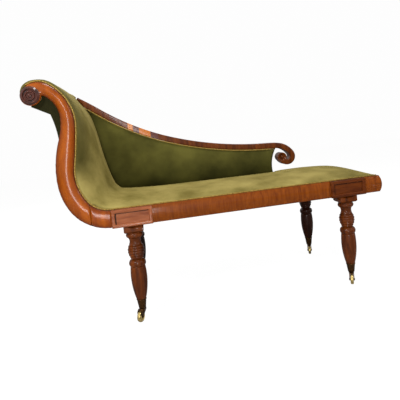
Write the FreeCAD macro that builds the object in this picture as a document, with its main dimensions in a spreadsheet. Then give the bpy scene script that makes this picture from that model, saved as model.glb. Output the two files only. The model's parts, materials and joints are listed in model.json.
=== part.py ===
import FreeCAD, Part
import math
import os

from FreeCAD import Placement, Rotation, Vector

doc = FreeCAD.newDocument("recamier")

# Driving sizes of the recamier, in millimetres and degrees. Lengths run along X from the axis of
# the head legs, depths along Y from the middle of the frame, and heights along Z from the floor.
SIZES = {
    # the seat frame
    "leg_pitch_x": 800.0,
    "leg_pitch_y": 430.0,
    "foot_overhang": 140.0,
    "rail_underside": 344.0,
    "rail_height": 62.0,
    "core_width": 41.0,
    "core_rebate": 9.0,
    "facing_edge": 7.0,
    "facing_bulge": 14.0,
    "cross_rail_width": 45.0,
    "cross_rail_dish": 14.0,
    "corner_block": 70.0,
    "corner_block_drop": 6.0,
    "dowel_radius": 5.0,
    "dowel_length": 40.0,
    # the tablets over the front legs
    "tablet_length": 138.0,
    "tablet_proud": 8.0,
    "tablet_border": 12.0,
    "tablet_sink": 8.0,
    # the scroll of the head, as arcs from the seat rail up to the roll
    "outer_sweep_radius": 154.4,
    "outer_sweep_turn": 58.9,
    "outer_belly_radius": 211.6,
    "outer_belly_turn": 26.7,
    "outer_waist_radius": 364.0,
    "outer_waist_turn": 24.2,
    "outer_neck_radius": 205.1,
    "outer_neck_turn": 19.9,
    "outer_crook_radius": 92.0,
    "outer_crook_turn": 62.6,
    "inner_sweep_radius": 90.8,
    "inner_sweep_turn": 55.1,
    "inner_belly_radius": 167.9,
    "inner_belly_turn": 45.4,
    "inner_waist_radius": 1288.0,
    "inner_waist_turn": 5.8,
    "inner_neck_radius": 162.0,
    "inner_neck_turn": 61.0,
    "inner_crook_radius": 60.5,
    "inner_crook_turn": 67.4,
    "roundel_inset": 12.0,
    "roundel_drop": 35.0,
    "scroll_end_radius": 33.0,
    "scroll_splice": 66.0,
    "facing_rounding": 12.5,
    "board_inset": 4.0,
    "roundel_radius": 30.6,
    "roundel_thickness": 10.0,
    # the rails across the head
    "roll_core_radius": 22.0,
    "head_rail_thickness": 34.0,
    "head_rail_height": 60.0,
    # the back
    "crest_start_x": 188.1,
    "crest_start_rise": 429.3,
    "crest_heading": 31.5,
    "crest_width": 25.0,
    "crest_front": 186.0,
    "crest_rounding": 4.0,
    "crest_shoulder_radius": 1282.5,
    "crest_shoulder_turn": 4.6,
    "crest_fall_radius": 1048.1,
    "crest_fall_turn": 18.0,
    "crest_run_radius": 1560.6,
    "crest_run_turn": 16.4,
    "crest_lip_radius": 1031.2,
    "crest_lip_turn": 2.7,
    "volute_top_radius": 102.9,
    "volute_top_turn": 53.0,
    "volute_side_radius": 39.0,
    "volute_side_turn": 131.2,
    "volute_base_radius": 50.1,
    "volute_base_turn": 72.7,
    "volute_eye_radius": 21.5,
    "volute_eye_drop": 7.7,
    "back_end_x": 646.0,
    "back_end_hollow": 5.0,
    "back_end_flare": 18.0,
    "back_post_width": 40.0,
    "back_frame_depth": 30.0,
    "back_rail_height": 32.0,
    # the legs
    "block_side": 67.0,
    "block_height": 25.0,
    "block_chamfer": 4.0,
    "shoulder_height": 5.0,
    "torus_radius": 29.6,
    "torus_height": 16.0,
    "neck_radius": 19.5,
    "neck_height": 24.0,
    "bulb_radius": 29.2,
    "bulb_height": 52.0,
    "ring_count": 5,
    "ring_depth": 2.4,
    "collar_radius": 29.4,
    "collar_height": 27.0,
    "vase_top_radius": 26.0,
    "vase_belly_radius": 27.3,
    "spigot_radius": 11.0,
    "spigot_length": 34.0,
    # the castors
    "cup_top": 78.0,
    "cup_bottom": 44.0,
    "cup_top_radius": 16.6,
    "cup_bottom_radius": 12.4,
    "cup_wall": 1.8,
    "cup_floor": 5.0,
    "cup_rim": 1.0,
    "tenon_air": 4.6,
    "pivot_radius": 4.0,
    "pivot_head_radius": 7.0,
    "pivot_head_height": 2.6,
    "running_clearance": 0.05,
    "seating_clearance": 0.3,
    "wheel_radius": 19.0,
    "wheel_width": 12.0,
    "wheel_rounding": 3.5,
    "wheel_side_air": 0.4,
    "wheel_top_air": 1.3,
    "castor_trail": 16.0,
    "horn_cheek": 3.0,
    "horn_eye_radius": 6.0,
    "horn_collar_radius": 10.5,
    "axle_radius": 3.0,
    "axle_head": 1.5,
    "heading_head_front": 240.0,
    "heading_foot_front": 244.5,
    "heading_head_rear": 281.0,
    "heading_foot_rear": 250.0,
    # the upholstery
    "webbing_width": 50.0,
    "webbing_thickness": 1.6,
    "lining_thickness": 1.5,
    "pad_edge": 6.0,
    "head_pad_roll": 13.0,
    "seat_crown": 30.0,
    "seat_edge_rise": 3.0,
    "back_pad_crown": 14.0,
    "cover_thickness": 2.4,
    "cove_fill": 27.0,
    "gimp_radius": 2.2,
}

sheet = doc.addObject("Spreadsheet::Sheet", "sizes")
for row, (alias, value) in enumerate(SIZES.items(), start=1):
    sheet.set("A%d" % row, alias)
    sheet.set("B%d" % row, str(value))
    sheet.setAlias("B%d" % row, alias)
doc.recompute()


def size(alias):
    return float(sheet.get(alias))


# Levels and planes that several pieces share.
underside = size("rail_underside")
rail_top = underside + size("rail_height")
core_top = rail_top - size("core_rebate")
half_pitch = size("leg_pitch_y") / 2
core_out = half_pitch + size("core_width") / 2
core_in = half_pitch - size("core_width") / 2
foot_out = size("leg_pitch_x") + size("foot_overhang")
foot_core = foot_out - size("facing_bulge")
foot_inner = foot_core - size("core_width")
half_tablet = size("tablet_length") / 2
joint_x = -half_tablet
seat_air = size("seating_clearance")
pieces = []


def keep(shape_object, label):
    """Name a finished sub-part, so that it is checked and written."""
    shape_object.Label = label
    pieces.append(shape_object)
    return shape_object


def new_body(name):
    body = doc.addObject("PartDesign::Body", name)
    return body


def sketch_on(body, role, name, lift=0.0):
    """A sketch on one of the body's own planes, moved along that plane's normal."""
    plane = [f for f in body.Origin.OriginFeatures if f.Role == role][0]
    sketch = body.newObject("Sketcher::SketchObject", name)
    sketch.AttachmentSupport = [(plane, "")]
    sketch.MapMode = "FlatFace"
    sketch.AttachmentOffset = Placement(Vector(0, 0, lift), Rotation())
    return sketch


def draw(sketch, edges):
    """Put a closed loop of lines and arcs into a sketch."""
    for edge in edges:
        sketch.addGeometry(edge, False)


def loop(points):
    """Straight edges through (x, y) points, closed."""
    corners = [Vector(x, y, 0) for x, y in points]
    return [Part.LineSegment(a, b) for a, b in zip(corners, corners[1:] + corners[:1])]


def rectangle(x0, y0, x1, y1):
    return loop([(x0, y0), (x1, y0), (x1, y1), (x0, y1)])


def pad(body, sketch, name, alias):
    feature = body.newObject("PartDesign::Pad", name)
    feature.Profile = sketch
    feature.setExpression("Length", alias)
    return feature


def cell(alias):
    return "sizes." + alias


# A run of tangent arcs. Each arc is a signed radius, positive to the left, and an angle turned.
def heading_vector(angle):
    return Vector(math.cos(math.radians(angle)), math.sin(math.radians(angle)), 0)


def left_of(angle):
    return heading_vector(angle + 90)


def shifted(start, heading, arcs, inset):
    """The same run, moved to its right by inset."""
    moved = start - left_of(heading) * inset
    return moved, heading, [(radius + inset if radius > 0 else radius + inset, turn) for radius, turn in arcs]


def run_points(start, heading, arcs):
    """Start, middle and end of every arc, and the heading at the end."""
    spans = []
    point = start
    for radius, turn in arcs:
        side = 1 if radius > 0 else -1
        centre = point + left_of(heading) * radius
        spoke = point - centre
        rotated = [Rotation(Vector(0, 0, 1), side * turn * share).multVec(spoke) for share in (0.5, 1.0)]
        middle, end = [centre + spoke_at for spoke_at in rotated]
        spans.append((point, middle, end))
        point = end
        heading += side * turn
    return spans, heading


def run_edges(start, heading, arcs):
    spans, last = run_points(start, heading, arcs)
    return [Part.Arc(a, b, c) for a, b, c in spans], spans[-1][2], last


def along(start, heading, arcs, distance):
    """The point and heading at a distance along the run."""
    point = start
    for radius, turn in arcs:
        side = 1 if radius > 0 else -1
        length = abs(radius) * math.radians(turn)
        share = min(distance / length, 1.0)
        centre = point + left_of(heading) * radius
        point = centre + Rotation(Vector(0, 0, 1), side * turn * share).multVec(point - centre)
        heading += side * turn * share
        distance -= length
        if distance <= 0:
            break
    return point, heading


def run_length(arcs):
    return sum(abs(radius) * math.radians(turn) for radius, turn in arcs)


def backwards(edges):
    """The same edges, walked the other way."""
    turned = []
    for edge in reversed(edges):
        if isinstance(edge, Part.Arc):
            shape = edge.toShape()
            middle = shape.valueAt((shape.FirstParameter + shape.LastParameter) / 2)
            turned.append(Part.Arc(shape.valueAt(shape.LastParameter), middle, shape.valueAt(shape.FirstParameter)))
        else:
            turned.append(Part.LineSegment(edge.EndPoint, edge.StartPoint))
    return turned


def arc_list(prefix, names, sides):
    return [(side * size("%s_%s_radius" % (prefix, name)), size("%s_%s_turn" % (prefix, name)))
            for name, side in zip(names, sides)]


SCROLL_ARCS = ["sweep", "belly", "waist", "neck", "crook"]
outer_run = (Vector(joint_x, underside, 0), 180.0, arc_list("outer", SCROLL_ARCS, [-1, -1, -1, 1, 1]))
inner_run = (Vector(joint_x, rail_top, 0), 180.0, arc_list("inner", SCROLL_ARCS, [-1, -1, 1, 1, 1]))
scroll_tip = run_points(*inner_run)[0][-1][2]
roll_centre = scroll_tip + Vector(size("roundel_inset"), -size("roundel_drop"), 0)


def scroll_outline(end_x, inset):
    """The S of the head, from the seat rail at end_x to the round end of the roll."""
    outer = shifted(*outer_run, inset)
    inner = shifted(*inner_run, -inset)
    outer_edges, outer_end, _ = run_edges(*outer)
    inner_edges, inner_end, _ = run_edges(*inner)
    reach = size("scroll_end_radius") - inset
    low_left = roll_centre + heading_vector(240) * reach
    cap = Part.Arc(inner_end, low_left, outer_end)
    edges = []
    if end_x > joint_x:
        edges.append(Part.LineSegment(Vector(end_x, inner[0].y, 0), inner[0]))
    edges += inner_edges + [cap] + backwards(outer_edges)
    if end_x > joint_x:
        edges.append(Part.LineSegment(outer[0], Vector(end_x, outer[0].y, 0)))
    edges.append(Part.LineSegment(Vector(end_x, outer[0].y, 0), Vector(end_x, inner[0].y, 0)))
    return edges


board_joint_x = -half_tablet / 2
dowel_levels = (underside + 16, core_top - 14)


def dowel_bores(body, label, y):
    """Bores for the dowels across the joint of a scroll board and its seat rail."""
    plan = sketch_on(body, "YZ_Plane", label + "_dowel_plan", board_joint_x)
    for z in dowel_levels:
        circle = Part.Circle(Vector(y, z, 0), Vector(0, 0, 1), size("dowel_radius") + size("running_clearance"))
        plan.addGeometry(circle, False)
    drill = body.newObject("PartDesign::Pocket", label + "_dowel_bores")
    drill.Profile = plan
    drill.Midplane = True
    drill.setExpression("Length", "sizes.dowel_length + sizes.seating_clearance")
    doc.recompute()


# The two S shaped boards of the head, sawn from beech and hidden by facing and cover.
for side, lift in (("front", core_in), ("rear", -core_out)):
    board = new_body(side + "_scroll_board")
    outline = sketch_on(board, "XZ_Plane", side + "_scroll_outline", lift)
    draw(outline, scroll_outline(board_joint_x, size("board_inset")))
    pad(board, outline, side + "_scroll_pad", cell("core_width"))
    doc.recompute()
    dowel_bores(board, side + "_scroll", -half_pitch if side == "front" else half_pitch)
    keep(board, side + "_scroll_board")


# The mahogany facing of the front scroll: a half-round moulding in two lengths, with its splice
# low in the sweep. The upper length carries the flat disc behind the roundel.
splice_x = joint_x - size("scroll_splice")


def facing_band():
    """The moulding's outline, cut straight across where the roll begins."""
    inner_edges, inner_end, _ = run_edges(*inner_run)
    outer_edges, outer_end, _ = run_edges(*outer_run)
    across = [Part.LineSegment(inner_end, outer_end)]
    return inner_edges + across + backwards(outer_edges) + [Part.LineSegment(outer_run[0], inner_run[0])]


for label, cut_from, cut_to in (("scroll_facing", splice_x, joint_x + 1),
                                ("scroll_facing_foot", roll_centre.x - 200, splice_x)):
    facing = new_body(label)
    outline = sketch_on(facing, "XZ_Plane", label + "_outline", core_out)
    draw(outline, facing_band())
    body_pad = pad(facing, outline, label + "_pad", cell("facing_bulge"))
    doc.recompute()
    front_y = -(core_out + size("facing_bulge"))
    long_edges = []
    for number, edge in enumerate(body_pad.Shape.Edges, start=1):
        in_front = edge.BoundBox.YMax < front_y + 0.01
        if in_front and edge.Length > size("rail_height") + 2:
            long_edges.append("Edge%d" % number)
    rounding = facing.newObject("PartDesign::Fillet", label + "_rounding")
    rounding.Base = (body_pad, long_edges)
    rounding.setExpression("Radius", cell("facing_rounding"))
    doc.recompute()
    if label == "scroll_facing":
        end_disc = sketch_on(facing, "XZ_Plane", label + "_disc", core_out)
        disc_circle = Part.Circle(roll_centre, Vector(0, 0, 1), size("scroll_end_radius"))
        end_disc.addGeometry(disc_circle, False)
        pad(facing, end_disc, label + "_disc_pad", cell("facing_bulge"))
        doc.recompute()
    waste = sketch_on(facing, "XZ_Plane", label + "_waste", core_out)
    draw(waste, rectangle(cut_from, underside - 60, cut_to, rail_top + 600))
    trim = facing.newObject("PartDesign::Pocket", label + "_trim")
    trim.Profile = waste
    trim.Type = "ThroughAll"
    trim.Reversed = True
    keep(facing, label)


# The turned roundel on the end of the scroll, with two rings round a button.
roundel = new_body("scroll_roundel")
roundel_r = size("roundel_radius")
roundel_t = size("roundel_thickness")
profile = sketch_on(roundel, "YZ_Plane", "roundel_profile", roll_centre.x)
face_y = -(core_out + size("facing_bulge"))
centre_z = roll_centre.y
steps = [(roundel_r, 0.0), (roundel_r, 0.45), (0.82 * roundel_r, 1.0), (0.72 * roundel_r, 1.0),
         (0.66 * roundel_r, 0.55), (0.56 * roundel_r, 0.55), (0.5 * roundel_r, 0.95),
         (0.4 * roundel_r, 0.95), (0.34 * roundel_r, 0.5), (0.2 * roundel_r, 0.5), (0.14 * roundel_r, 0.9)]
outline_points = [(face_y - share * roundel_t, centre_z + radius) for radius, share in steps]
outline_points += [(face_y - 0.9 * roundel_t, centre_z), (face_y, centre_z)]
draw(profile, loop(outline_points))
turned = roundel.newObject("PartDesign::Revolution", "roundel_turning")
turned.Profile = profile
axis_line = sketch_on(roundel, "YZ_Plane", "roundel_axis", roll_centre.x)
axis_line.addGeometry(Part.LineSegment(Vector(face_y - 60, centre_z, 0), Vector(face_y + 60, centre_z, 0)), False)
turned.ReferenceAxis = (axis_line, ["Edge1"])
turned.Angle = 360.0
keep(roundel, "scroll_roundel")


# Seat rails: beech cores between the legs, with a bore for each leg's spigot.
def seat_rail(label, y_side):
    body = new_body(label)
    section = sketch_on(body, "XY_Plane", label + "_plan", underside)
    y0, y1 = sorted((y_side * core_in, y_side * core_out))
    draw(section, rectangle(board_joint_x, y0, foot_core, y1))
    pad(body, section, label + "_pad", "sizes.rail_height - sizes.core_rebate")
    doc.recompute()
    bores = sketch_on(body, "XY_Plane", label + "_bores", underside)
    bore_radius = size("spigot_radius") + size("running_clearance")
    for x in (0.0, size("leg_pitch_x")):
        bores.addGeometry(Part.Circle(Vector(x, y_side * half_pitch, 0), Vector(0, 0, 1), bore_radius), False)
    drill = body.newObject("PartDesign::Pocket", label + "_drill")
    drill.Profile = bores
    drill.Reversed = True
    drill.setExpression("Length", "sizes.spigot_length + sizes.seating_clearance")
    doc.recompute()
    dowel_bores(body, label, y_side * half_pitch)
    keep(body, label)


seat_rail("front_seat_rail", -1)
seat_rail("rear_seat_rail", 1)


def plain_box(label, x0, y0, z0, x1, y1, z1):
    """A squared timber between two corners."""
    box = doc.addObject("Part::Box", label)
    box.Length = x1 - x0
    box.Width = y1 - y0
    box.Height = z1 - z0
    box.Placement = Placement(Vector(x0, y0, z0), Rotation())
    return keep(box, label)


foot_rail = plain_box("foot_end_rail", foot_inner, -core_in, underside, foot_core, core_in, core_top)
head_rail_x = joint_x
plain_box("head_bottom_rail", head_rail_x - size("head_rail_thickness"), -core_in, underside + 12,
          head_rail_x, core_in, core_top)
waist_point, waist_heading = along(*inner_run, run_length(inner_run[2][:2]) + 20)
middle = waist_point + left_of(waist_heading) * (size("head_rail_thickness") / 2 + 10)
middle_rail = doc.addObject("Part::Box", "head_middle_rail")
middle_rail.setExpression("Length", cell("head_rail_thickness"))
middle_rail.Width = 2 * core_in
middle_rail.setExpression("Height", cell("head_rail_height"))
lean = Rotation(Vector(0, 1, 0), 90 - waist_heading)
half_box = Vector(size("head_rail_thickness") / 2, core_in, size("head_rail_height") / 2)
middle_rail.Placement = Placement(Vector(middle.x, 0, middle.y) - lean.multVec(half_box), lean)
keep(middle_rail, "head_middle_rail")

roll = doc.addObject("Part::Cylinder", "head_roll_core")
roll.setExpression("Radius", cell("roll_core_radius"))
roll.Height = 2 * core_in
roll.Placement = Placement(Vector(roll_centre.x, core_in, roll_centre.y), Rotation(Vector(1, 0, 0), 90))
keep(roll, "head_roll_core")

# The stretcher across the middle of the seat, dished so that the webbing can give.
cross_x = size("leg_pitch_x") / 2
cross = new_body("seat_cross_rail")
elevation = sketch_on(cross, "YZ_Plane", "cross_elevation", cross_x - size("cross_rail_width") / 2)
dish = size("cross_rail_dish")
dip = Part.Arc(Vector(core_in, core_top - 2, 0), Vector(0, core_top - 2 - dish, 0), Vector(-core_in, core_top - 2, 0))
draw(elevation, [Part.LineSegment(Vector(-core_in, underside + 6, 0), Vector(core_in, underside + 6, 0)),
                 Part.LineSegment(Vector(core_in, underside + 6, 0), Vector(core_in, core_top - 2, 0)),
                 dip,
                 Part.LineSegment(Vector(-core_in, core_top - 2, 0), Vector(-core_in, underside + 6, 0))])
pad(cross, elevation, "cross_pad", cell("cross_rail_width"))
keep(cross, "seat_cross_rail")


def compound(label, shapes):
    """Several like solids that share one node."""
    feature = doc.addObject("Part::Feature", label)
    feature.Shape = Part.makeCompound(shapes)
    return keep(feature, label)


def prism(points, z0, height):
    """An upright prism on (x, y) corners."""
    corners = [Vector(x, y, z0) for x, y in points]
    face = Part.Face(Part.makePolygon(corners + corners[:1]))
    return face.extrude(Vector(0, 0, height))


# Glue blocks in the four inner corners of the frame.
blocks = []
arm = size("corner_block")
block_z = underside + size("corner_block_drop")
block_height = core_top - 2 * size("corner_block_drop") - underside
for side in (-1, 1):
    y = side * core_in
    blocks.append(prism([(foot_inner, y), (foot_inner - arm, y), (foot_inner, y - side * arm)], block_z, block_height))
    blocks.append(prism([(head_rail_x, y), (head_rail_x + arm, y), (head_rail_x, y - side * arm)],
                        block_z, block_height))
compound("corner_blocks", blocks)


# The convex facing of the rails, veneered across the grain.
def facing_section(sketch, back, top_side):
    """The facing's section: flat behind, bulging in front. back is its flat side."""
    edge = size("facing_edge")
    bulge = size("facing_bulge")
    low = underside
    high = rail_top
    belly = Vector(back + top_side * bulge, low + 0.52 * (high - low), 0)
    lower = Vector(back + top_side * edge, low, 0)
    upper = Vector(back + top_side * edge, high, 0)
    draw(sketch, [Part.LineSegment(Vector(back, low, 0), lower),
                  Part.Arc(lower, belly, upper),
                  Part.LineSegment(upper, Vector(back, high, 0)),
                  Part.LineSegment(Vector(back, high, 0), Vector(back, low, 0))])


tablet_gap = size("leg_pitch_x") - size("tablet_length")
front_facing = new_body("front_rail_facing")
section = sketch_on(front_facing, "YZ_Plane", "front_facing_section", half_tablet)
facing_section(section, -core_out, -1)
pad(front_facing, section, "front_facing_pad", "sizes.leg_pitch_x - sizes.tablet_length")
keep(front_facing, "front_rail_facing")


def mitre(body, points, name):
    """Cut away everything over a plan outline."""
    plan = sketch_on(body, "XY_Plane", name + "_plan", underside - 5)
    draw(plan, loop(points))
    cut = body.newObject("PartDesign::Pocket", name)
    cut.Profile = plan
    cut.Reversed = True
    cut.Type = "ThroughAll"


corner_x0 = size("leg_pitch_x") + half_tablet
corner_facing = new_body("front_corner_facing")
section = sketch_on(corner_facing, "YZ_Plane", "corner_facing_section", corner_x0)
facing_section(section, -core_out, -1)
pad(corner_facing, section, "corner_facing_pad", "sizes.foot_overhang - sizes.tablet_length / 2")
bulge = size("facing_bulge")
mitre(corner_facing, [(foot_core, -core_out), (foot_out + 1, -core_out - bulge - 1), (foot_out + 1, -core_out + 1),
                      (foot_core, -core_out + 1)], "corner_mitre")
keep(corner_facing, "front_corner_facing")

foot_facing = new_body("foot_rail_facing")
section = sketch_on(foot_facing, "XZ_Plane", "foot_facing_section", -core_out)
facing_section(section, foot_core, 1)
pad(foot_facing, section, "foot_facing_pad", "sizes.leg_pitch_y + sizes.core_width + sizes.facing_bulge")
mitre(foot_facing, [(foot_core, -core_out), (foot_core - 1, -core_out), (foot_core - 1, -core_out - bulge - 2),
                    (foot_out + 1, -core_out - bulge - 2), (foot_out + 1, -core_out - bulge - 1)], "foot_mitre")
keep(foot_facing, "foot_rail_facing")


# The tablets over the front legs: a raised border round a sunk panel.
for label, centre_x in (("head_tablet", 0.0), ("foot_tablet", size("leg_pitch_x"))):
    tablet = new_body(label)
    plate = sketch_on(tablet, "XZ_Plane", label + "_plate", core_out)
    draw(plate, rectangle(centre_x - half_tablet, underside, centre_x + half_tablet, rail_top))
    slab = pad(tablet, plate, label + "_pad", "sizes.facing_bulge + sizes.tablet_proud")
    doc.recompute()
    border = size("tablet_border")
    panel = sketch_on(tablet, "XZ_Plane", label + "_panel", core_out + bulge + size("tablet_proud"))
    draw(panel, rectangle(centre_x - half_tablet + border, underside + border,
                          centre_x + half_tablet - border, rail_top - border))
    sink = tablet.newObject("PartDesign::Pocket", label + "_sink")
    sink.Profile = panel
    sink.setExpression("Length", cell("tablet_sink"))
    doc.recompute()
    front_y = -(core_out + bulge + size("tablet_proud"))
    rims = []
    for number, edge in enumerate(sink.Shape.Edges, start=1):
        box = edge.BoundBox
        if abs(box.YMin - front_y) < 0.01 and abs(box.YMax - front_y) < 0.01:
            rims.append("Edge%d" % number)
    moulding = tablet.newObject("PartDesign::Chamfer", label + "_moulding")
    moulding.Base = (sink, rims)
    moulding.Size = size("tablet_border") / 4
    keep(tablet, label)


# The legs: a square block with a spigot above, turned below, and a tenon for the castor cup.
def leg_profile():
    """Half the turned outline from the block down to the tenon, as edges in (radius, height)."""
    level = underside - size("block_height")
    marks = [Vector(0.86 * size("block_side") / 2, level, 0)]
    edges = []

    def line_to(radius, height):
        end = Vector(radius, height, 0)
        edges.append(Part.LineSegment(marks[-1], end))
        marks.append(end)

    def curve_to(middle_radius, radius, height):
        middle_height = (marks[-1].y + height) / 2
        end = Vector(radius, height, 0)
        edges.append(Part.Arc(marks[-1], Vector(middle_radius, middle_height, 0), end))
        marks.append(end)

    level -= size("shoulder_height")
    line_to(0.9 * size("torus_radius"), level)
    level -= size("torus_height")
    curve_to(size("torus_radius"), 0.82 * size("torus_radius"), level)
    line_to(1.2 * size("neck_radius"), level)
    level -= size("neck_height")
    curve_to(size("neck_radius"), 1.15 * size("neck_radius"), level)
    bulb = size("bulb_radius")
    bulb_top = level
    bulb_mid = bulb_top - 0.42 * size("bulb_height")
    count = int(size("ring_count"))
    first = 0.06 * size("bulb_height")
    pitch = (size("bulb_height") - first) / count

    def girth(height):
        reach = 0.85 * size("bulb_height") if height > bulb_mid else 1.05 * size("bulb_height")
        return bulb * (1 - ((height - bulb_mid) / reach) ** 2)

    level -= first
    line_to(girth(level) - size("ring_depth"), level)
    for _ in range(count):
        lower = level - pitch
        curve_to(girth((level + lower) / 2), girth(lower) - size("ring_depth"), lower)
        level = lower
    line_to(0.75 * size("collar_radius"), level - 2)
    level -= size("collar_height")
    curve_to(size("collar_radius"), 0.82 * size("collar_radius"), level)
    line_to(size("vase_top_radius"), level - 2)
    curve_to(size("vase_belly_radius"), size("cup_top_radius"), size("cup_top"))
    tenon_top = size("cup_top_radius") - size("cup_wall") - seat_air
    tenon_foot = size("cup_bottom_radius") - size("cup_wall") - seat_air
    tenon_end = size("cup_bottom") + size("cup_floor") + size("tenon_air")
    line_to(tenon_top, size("cup_top"))
    line_to(tenon_foot, tenon_end)
    line_to(0.0, tenon_end)
    line_to(0.0, underside + size("spigot_length"))
    line_to(size("spigot_radius"), underside + size("spigot_length"))
    line_to(size("spigot_radius"), underside - size("block_height") / 2)
    line_to(marks[0].x, underside - size("block_height") / 2)
    edges.append(Part.LineSegment(marks[-1], marks[0]))
    return edges


LEG_PLACES = {
    "head_front": (0.0, -half_pitch, size("heading_head_front")),
    "foot_front": (size("leg_pitch_x"), -half_pitch, size("heading_foot_front")),
    "head_rear": (0.0, half_pitch, size("heading_head_rear")),
    "foot_rear": (size("leg_pitch_x"), half_pitch, size("heading_foot_rear")),
}
wheel_r = size("wheel_radius")
slot_half = size("wheel_width") / 2 + size("wheel_side_air")
cheek_out = slot_half + size("horn_cheek")
horn_top = size("cup_bottom") - seat_air
bridge_low = 2 * wheel_r + size("wheel_top_air")
trail = size("castor_trail")
clear = size("running_clearance")


def turned_body(label, edges):
    """A body turned about its own upright axis."""
    body = new_body(label)
    half = sketch_on(body, "XZ_Plane", label + "_profile")
    draw(half, edges)
    lathe = body.newObject("PartDesign::Revolution", label + "_turning")
    lathe.Profile = half
    lathe.ReferenceAxis = (half, ["V_Axis"])
    lathe.Angle = 360.0
    return body


def make_leg(label):
    body = turned_body(label, leg_profile())
    doc.recompute()
    plan = sketch_on(body, "XY_Plane", label + "_block_plan", underside - size("block_height"))
    half = size("block_side") / 2
    draw(plan, rectangle(-half, -half, half, half))
    block = pad(body, plan, label + "_block", cell("block_height"))
    doc.recompute()
    low = underside - size("block_height")
    rims = []
    for number, edge in enumerate(block.Shape.Edges, start=1):
        box = edge.BoundBox
        straight = max(box.XLength, box.YLength) > 0.9 * size("block_side")
        if abs(box.ZMin - low) < 0.01 and abs(box.ZMax - low) < 0.01 and straight:
            rims.append("Edge%d" % number)
    chamfer = body.newObject("PartDesign::Chamfer", label + "_chamfer")
    chamfer.Base = (block, rims)
    chamfer.setExpression("Size", cell("block_chamfer"))
    return body


def make_cup(label):
    """The brass socket that holds the tenon, closed below by a floor with the pivot's bore."""
    top, bottom = size("cup_top"), size("cup_bottom")
    outer_top, outer_bottom = size("cup_top_radius"), size("cup_bottom_radius")
    wall, rim = size("cup_wall"), size("cup_rim")
    bore = size("pivot_radius") + clear
    floor = bottom + size("cup_floor")
    return turned_body(label, loop([
        (bore, bottom), (outer_bottom - 1, bottom), (outer_bottom, bottom + 1.5),
        (outer_top - 0.3, top - 4), (outer_top + rim, top - 3), (outer_top + rim, top - 0.5),
        (outer_top + rim - 0.5, top), (outer_top - wall, top), (outer_bottom - wall, floor), (bore, floor)]))


def make_horn(label):
    """The fork under the cup: a collar and riveted pivot, and two cheeks that carry the axle."""
    body = new_body(label)
    side = sketch_on(body, "XZ_Plane", label + "_side")
    eye = size("horn_eye_radius")
    reach = size("horn_collar_radius")
    eye_low = Vector(trail, wheel_r - eye, 0)
    eye_back = Vector(trail - 0.9 * eye, wheel_r + 0.44 * eye, 0)
    eye_front = Vector(trail + 0.9 * eye, wheel_r + 0.44 * eye, 0)
    top_back = Vector(-reach + 1, horn_top, 0)
    top_front = Vector(reach + 4, horn_top, 0)
    shoulder_back = Vector(-reach + 1, bridge_low - 2, 0)
    shoulder_front = Vector(trail + eye + 1, bridge_low - 3, 0)
    draw(side, [Part.LineSegment(top_back, shoulder_back),
                Part.Arc(shoulder_back, Vector(trail / 2 - 7, wheel_r + 10, 0), eye_back),
                Part.Arc(eye_back, eye_low, eye_front),
                Part.LineSegment(eye_front, shoulder_front),
                Part.LineSegment(shoulder_front, top_front),
                Part.LineSegment(top_front, top_back)])
    cheeks = body.newObject("PartDesign::Pad", label + "_cheeks")
    cheeks.Profile = side
    cheeks.Length = 2 * cheek_out
    cheeks.Midplane = True
    doc.recompute()
    slot = sketch_on(body, "YZ_Plane", label + "_slot", -40)
    draw(slot, rectangle(-slot_half, -20, slot_half, bridge_low))
    gap = body.newObject("PartDesign::Pocket", label + "_gap")
    gap.Profile = slot
    gap.Reversed = True
    gap.Type = "ThroughAll"
    doc.recompute()
    eye_sketch = sketch_on(body, "XZ_Plane", label + "_eye", -40)
    eye_sketch.addGeometry(Part.Circle(Vector(trail, wheel_r, 0), Vector(0, 0, 1), size("axle_radius")), False)
    eye_hole = body.newObject("PartDesign::Pocket", label + "_eye_hole")
    eye_hole.Profile = eye_sketch
    eye_hole.Reversed = True
    eye_hole.Type = "ThroughAll"
    doc.recompute()
    pin_sketch = sketch_on(body, "XZ_Plane", label + "_pivot_profile")
    floor_top = size("cup_bottom") + size("cup_floor")
    pin, head = size("pivot_radius"), size("pivot_head_radius")
    head_low = floor_top + 0.2
    draw(pin_sketch, loop([(0, bridge_low), (reach - 0.8, bridge_low), (reach, bridge_low + 0.8), (reach, horn_top - 0.8),
                           (reach - 0.8, horn_top), (pin, horn_top), (pin, head_low), (head, head_low),
                           (head - 1.2, head_low + size("pivot_head_height")),
                           (0, head_low + size("pivot_head_height"))]))
    pivot = body.newObject("PartDesign::Revolution", label + "_pivot")
    pivot.Profile = pin_sketch
    pivot.ReferenceAxis = (pin_sketch, ["V_Axis"])
    pivot.Angle = 360.0
    return body


def spindle(label, points):
    """Something turned about the wheel's axis. points are (distance along the axis, radius)."""
    body = new_body(label)
    half = sketch_on(body, "YZ_Plane", label + "_profile", trail)
    draw(half, [Part.LineSegment(Vector(a[0], wheel_r + a[1], 0), Vector(b[0], wheel_r + b[1], 0))
                for a, b in zip(points, points[1:] + points[:1])])
    axis = sketch_on(body, "YZ_Plane", label + "_axis", trail)
    axis.addGeometry(Part.LineSegment(Vector(-30, wheel_r, 0), Vector(30, wheel_r, 0)), False)
    lathe = body.newObject("PartDesign::Revolution", label + "_turning")
    lathe.Profile = half
    lathe.ReferenceAxis = (axis, ["Edge1"])
    lathe.Angle = 360.0
    return body


def make_axle(label):
    r, head = size("axle_radius"), size("axle_head")
    out = cheek_out
    return spindle(label, [(-out - head, 0), (-out - head, r - 0.6), (-out - head + 0.8, r + 1.2), (-out, r + 1.2),
                           (-out, r), (out, r), (out, r + 1.2), (out + head - 0.8, r + 1.2), (out + head, r - 0.6),
                           (out + head, 0)])


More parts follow.
